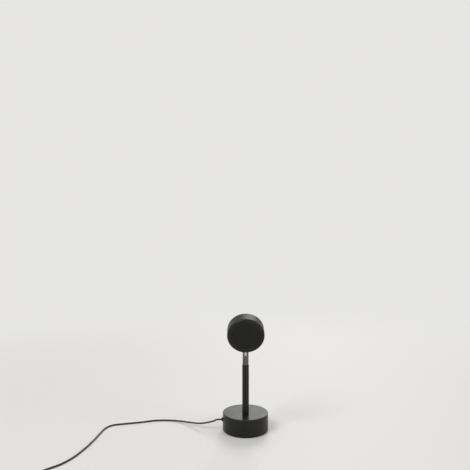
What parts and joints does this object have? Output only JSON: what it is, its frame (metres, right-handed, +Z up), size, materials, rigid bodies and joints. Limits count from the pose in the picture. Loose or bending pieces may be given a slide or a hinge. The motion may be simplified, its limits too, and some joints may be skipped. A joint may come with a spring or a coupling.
{
  "type": "sunset projection lamp",
  "caption": "Small desk lamp that projects a warm round glow: weighted round base, slim pole, swivelling neck and tilting projector head with a lens, push switch and plug on its lead.",
  "frame": {"origin": "centre of the round base's underside, on the table", "axes": "+Z up, +Y the way the lamp shines, the lead leaves the base towards -X"},
  "size_m": [0.3336, 0.2551, 0.1958],
  "materials": {
    "base_shell": "satin black powder coat",
    "ballast": "rough cast",
    "base_plate": "matt black",
    "foot_pad": "matt foam rubber",
    "bright_steel": "nickel plated",
    "pole": "satin black powder coat",
    "bush_plastic": "turned black acetal",
    "grommet": "matt",
    "neck": "dark nickel",
    "washer_plastic": "nylon",
    "tongue_steel": "nickel plated",
    "head": "satin black powder coat",
    "rear_cover": "satin black powder coat",
    "raw_aluminium": "turned",
    "light_board": "white solder mask",
    "light_chip": "phosphor",
    "thin_leads": "soft silicone",
    "reflector": "vacuum metallised",
    "colour_filter": "dyed film",
    "gasket": "silicone",
    "barrel": "satin black powder coat",
    "lens": "polished",
    "bezel": "satin black powder coat",
    "cord": "soft vinyl",
    "cord_tie": "vinyl strip",
    "switch_shell": "fine spark texture",
    "module_plastic": "moulded",
    "button": "satin",
    "plug_grip": "soft vinyl",
    "plug_sleeve": "nickel plated",
    "plug_carrier": "moulded",
    "plug_contacts": "gold flash"
  },
  "bodies": {
    "base": {"base_shell": "base_shell", "base_ballast": "ballast", "base_plate": "base_plate", "foot_pad": "foot_pad", "base_screws": "bright_steel", "pole_tube": "pole", "pole_nipple": "bright_steel", "nipple_nut": "bright_steel", "nipple_washer": "bright_steel", "swivel_bush": "bush_plastic", "cord_grommet": "grommet", "cord_stop": "bright_steel", "inner_lead": "cord", "cord_run": "cord", "cord_coil": "cord", "cord_tie": "cord_tie", "cord_tail": "cord", "cord_link": "cord", "switch_lower": "switch_shell", "switch_upper": "switch_shell", "switch_screws": "bright_steel", "switch_module": "module_plastic", "plug_grip": "plug_grip", "plug_sleeve": "plug_sleeve", "plug_carrier": "plug_carrier", "plug_contacts": "plug_contacts"},
    "neck": {"neck_fork": "neck", "neck_clip": "bright_steel", "tilt_screw": "bright_steel", "friction_washers": "washer_plastic"},
    "head": {"head_tongue": "tongue_steel", "stud_nut": "bright_steel", "head_housing": "head", "rear_cover": "rear_cover", "heat_spreader": "raw_aluminium", "light_board": "light_board", "light_chip": "light_chip", "board_screws": "bright_steel", "head_leads": "thin_leads", "reflector": "reflector", "colour_filter": "colour_filter", "filter_spacer": "gasket", "front_barrel": "barrel", "lens": "lens", "lens_gasket": "gasket", "lens_bezel": "bezel"},
    "button": {"switch_button": "button"}
  },
  "joints": [
    {"name": "neck_swivel", "type": "hinge", "parent": "base", "child": "neck", "pos_m": [0, -0.011, 0.11], "axis": [0, 0, 1], "range_deg": [-170, 170]},
    {"name": "head_tilt", "type": "hinge", "parent": "neck", "child": "head", "pos_m": [0, -0.011, 0.1275], "axis": [1, 0, 0], "range_deg": [-108.5, 71.5]},
    {"name": "button_press", "type": "slide", "parent": "base", "child": "button", "axis": [0, 0, -1], "range_m": [0, 0.001], "stiffness_N_per_m": 900, "springref_m": -0.001}
  ]
}
